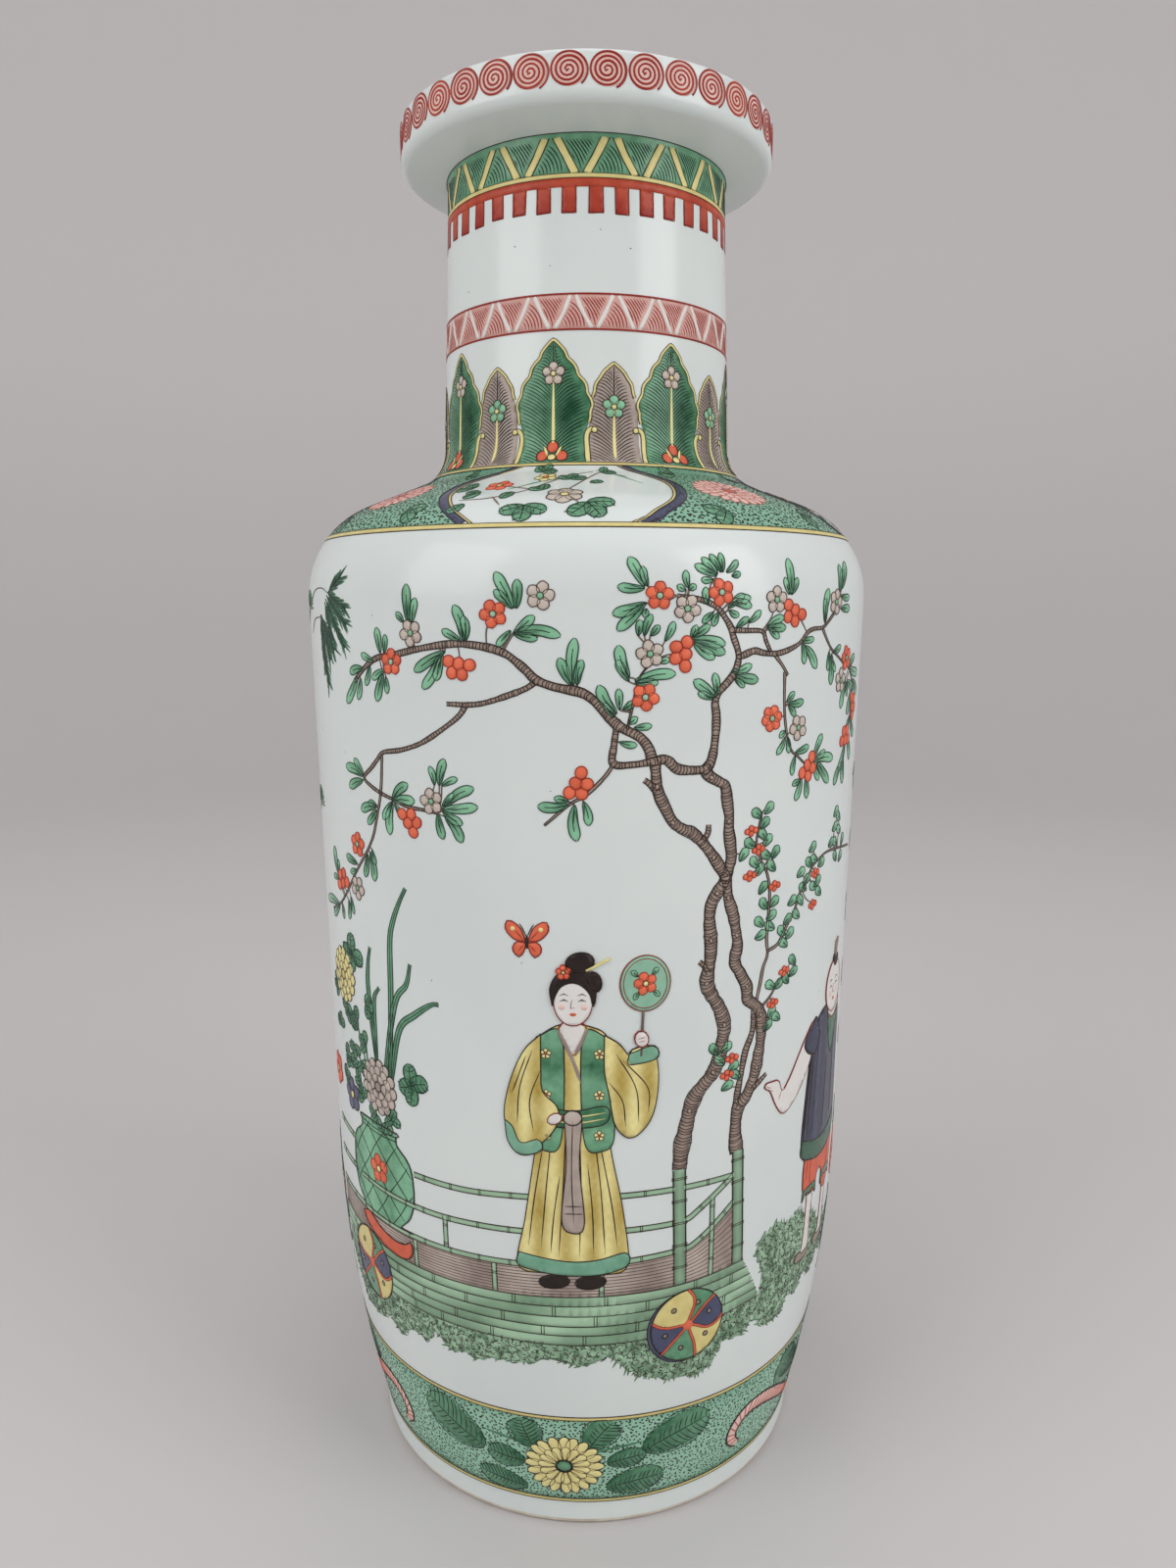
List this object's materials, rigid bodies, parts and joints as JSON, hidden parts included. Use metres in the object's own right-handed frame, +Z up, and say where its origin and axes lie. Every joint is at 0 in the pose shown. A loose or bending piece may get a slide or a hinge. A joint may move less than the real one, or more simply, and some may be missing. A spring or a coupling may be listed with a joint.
{
  "type": "rouleau vase",
  "caption": "Tall porcelain rouleau vase with a straight body, sloping shoulder, cylindrical neck and dished mouth, glazed and painted with flowering branches in enamels.",
  "frame": {"origin": "centre of the standing ring, on the surface that the vase stands on", "axes": "+Z up along the vase's axis, -Y towards the painted front"},
  "size_m": [0.1943, 0.1944, 0.46],
  "materials": {
    "porcelain": "unglazed biscuit",
    "slip": "unglazed biscuit",
    "glaze": "glossy, faintly bluish",
    "enamel_red": "thin, satin iron red",
    "enamel_pink": "thin iron red wash",
    "enamel_green": "glossy translucent",
    "enamel_turquoise": "glossy translucent wash",
    "enamel_yellow": "glossy translucent",
    "enamel_aubergine": "glossy translucent",
    "enamel_blue": "glossy translucent",
    "enamel_black": "thin drawn outlines"
  },
  "bodies": {
    "root": {"base_section": "porcelain", "lower_body": "porcelain", "upper_body": "porcelain", "shoulder": "porcelain", "neck": "porcelain", "mouth": "porcelain", "base_seam": "slip", "waist_seam": "slip", "shoulder_seam": "slip", "neck_seam": "slip", "mouth_seam": "slip", "outer_glaze": "glaze", "inner_glaze": "glaze", "base_glaze": "glaze", "rim_spirals": "enamel_red", "neck_zigzag_band": "enamel_green", "neck_upper_line": "enamel_yellow", "neck_red_teeth": "enamel_red", "neck_red_band": "enamel_pink", "neck_green_leaves": "enamel_green", "neck_aubergine_leaves": "enamel_aubergine", "neck_lower_line": "enamel_yellow", "shoulder_ground": "enamel_turquoise", "shoulder_frames": "enamel_blue", "shoulder_line": "enamel_yellow", "border_upper_line": "enamel_yellow", "border_ground": "enamel_turquoise", "border_frames": "enamel_pink", "border_lower_line": "enamel_yellow"}
  },
  "joints": []
}
